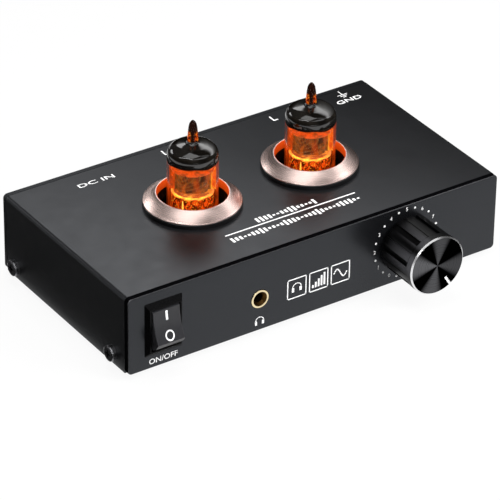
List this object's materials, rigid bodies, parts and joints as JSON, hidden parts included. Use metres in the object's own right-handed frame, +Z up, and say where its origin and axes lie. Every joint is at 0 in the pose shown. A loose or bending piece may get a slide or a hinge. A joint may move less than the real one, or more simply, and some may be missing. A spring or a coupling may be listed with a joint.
{
  "type": "phono preamp",
  "caption": "Small valve phono preamp with headphone output: black steel case, glowing glass valves in copper rings, volume knob, rocker switch, rear phono sockets and ground post.",
  "frame": {"origin": "middle of the whole footprint, from the knob's face to the ground post's end, at the level of the feet's undersides", "axes": "+X to the right seen from the front, +Y from the knob's side to the rear sockets, +Z up"},
  "size_m": [0.1572, 0.1148, 0.0656],
  "materials": {
    "steel_cover": "satin",
    "steel_tray": "satin",
    "front_plate": "fine texture",
    "rear_plate": "satin",
    "black_fastener": "satin",
    "zinc_fastener": "satin",
    "foot_rubber": "matte",
    "board": "satin",
    "standoff_brass": "satin",
    "can_sleeve": "gloss",
    "film_case": "gloss",
    "chip": "matte",
    "resistor": "gloss",
    "coil": "satin",
    "socket": "satin",
    "lamp": "gloss",
    "ring_washer": "satin",
    "rose_gold": "polished",
    "tube_glass": "gloss",
    "tube_pin": "polished",
    "anode": "satin",
    "cathode": "satin",
    "mica": "satin",
    "getter": "satin",
    "pot_case": "satin",
    "plated": "satin",
    "knob": "spun",
    "switch_plastic": "satin",
    "rocker_plastic": "satin",
    "blade": "satin",
    "lead": "satin",
    "jack_plastic": "satin",
    "gold": "polished",
    "left_insert": "satin",
    "right_insert": "satin"
  },
  "bodies": {
    "case": {"base_tray": "steel_tray", "top_cover": "steel_cover", "front_panel": "front_plate", "rear_panel": "rear_plate", "cover_screws": "black_fastener", "front_panel_nuts": "zinc_fastener", "rear_panel_screws": "black_fastener", "rubber_feet": "foot_rubber", "main_board": "board", "board_standoffs": "standoff_brass", "board_screws": "zinc_fastener", "electrolytic_capacitors": "can_sleeve", "film_capacitors": "film_case", "resistors": "resistor", "amplifier_chips": "chip", "boost_inductor": "coil", "volume_pot": "pot_case", "pot_bushing": "plated", "pot_nut": "zinc_fastener", "switch_housing": "switch_plastic", "switch_terminals": "blade", "switch_wires": "lead", "headphone_jack": "jack_plastic", "headphone_sleeve": "gold", "output_jack_block": "jack_plastic", "input_jack_block": "jack_plastic", "jack_shells": "gold", "left_jack_inserts": "left_insert", "right_jack_inserts": "right_insert", "jack_contacts": "gold", "dc_jack": "jack_plastic", "dc_jack_pin": "plated", "ground_post": "gold", "ground_lock_nut": "zinc_fastener", "left_tube_socket": "socket", "left_glow_lamp": "lamp", "left_ring_washer": "ring_washer", "left_trim_ring": "rose_gold", "right_tube_socket": "socket", "right_glow_lamp": "lamp", "right_ring_washer": "ring_washer", "right_trim_ring": "rose_gold"},
    "volume_control": {"volume_knob": "knob", "knob_set_screw": "black_fastener", "pot_shaft": "plated"},
    "power_rocker": {"switch_rocker": "rocker_plastic"},
    "ground_washer": {"ground_washer": "gold"},
    "ground_nut": {"ground_nut": "gold"},
    "left_tube": {"left_tube_glass": "tube_glass", "left_tube_pins": "tube_pin", "left_tube_anode": "anode", "left_tube_cathode": "cathode", "left_tube_micas": "mica", "left_tube_getter": "getter"},
    "right_tube": {"right_tube_glass": "tube_glass", "right_tube_pins": "tube_pin", "right_tube_anode": "anode", "right_tube_cathode": "cathode", "right_tube_micas": "mica", "right_tube_getter": "getter"}
  },
  "joints": [
    {"name": "volume_turn", "type": "hinge", "parent": "case", "child": "volume_control", "pos_m": [0.0375, -0.0386, 0.0176], "axis": [0, -1, 0], "range_deg": [-3, 297]},
    {"name": "power_press", "type": "hinge", "parent": "case", "child": "power_rocker", "pos_m": [-0.0627, -0.0363, 0.018], "axis": [1, 0, 0], "range_deg": [0, 34]},
    {"name": "left_tube_lift", "type": "slide", "parent": "case", "child": "left_tube", "axis": [0, 0, 1], "range_m": [0, 0.03]},
    {"name": "right_tube_lift", "type": "slide", "parent": "case", "child": "right_tube", "axis": [0, 0, 1], "range_m": [0, 0.03]},
    {"name": "ground_travel", "type": "slide", "parent": "case", "child": "ground_washer", "axis": [0, 1, 0], "range_m": [0, 0.0021]},
    {"name": "ground_unscrew", "type": "hinge", "parent": "ground_washer", "child": "ground_nut", "pos_m": [0.0633, 0.0434, 0.0176], "axis": [0, 1, 0], "range_deg": [0, 1080.5]}
  ],
  "couplings": [
    {"joint": "ground_unscrew", "follows": "ground_travel", "rad_per_m": 8975.9}
  ]
}
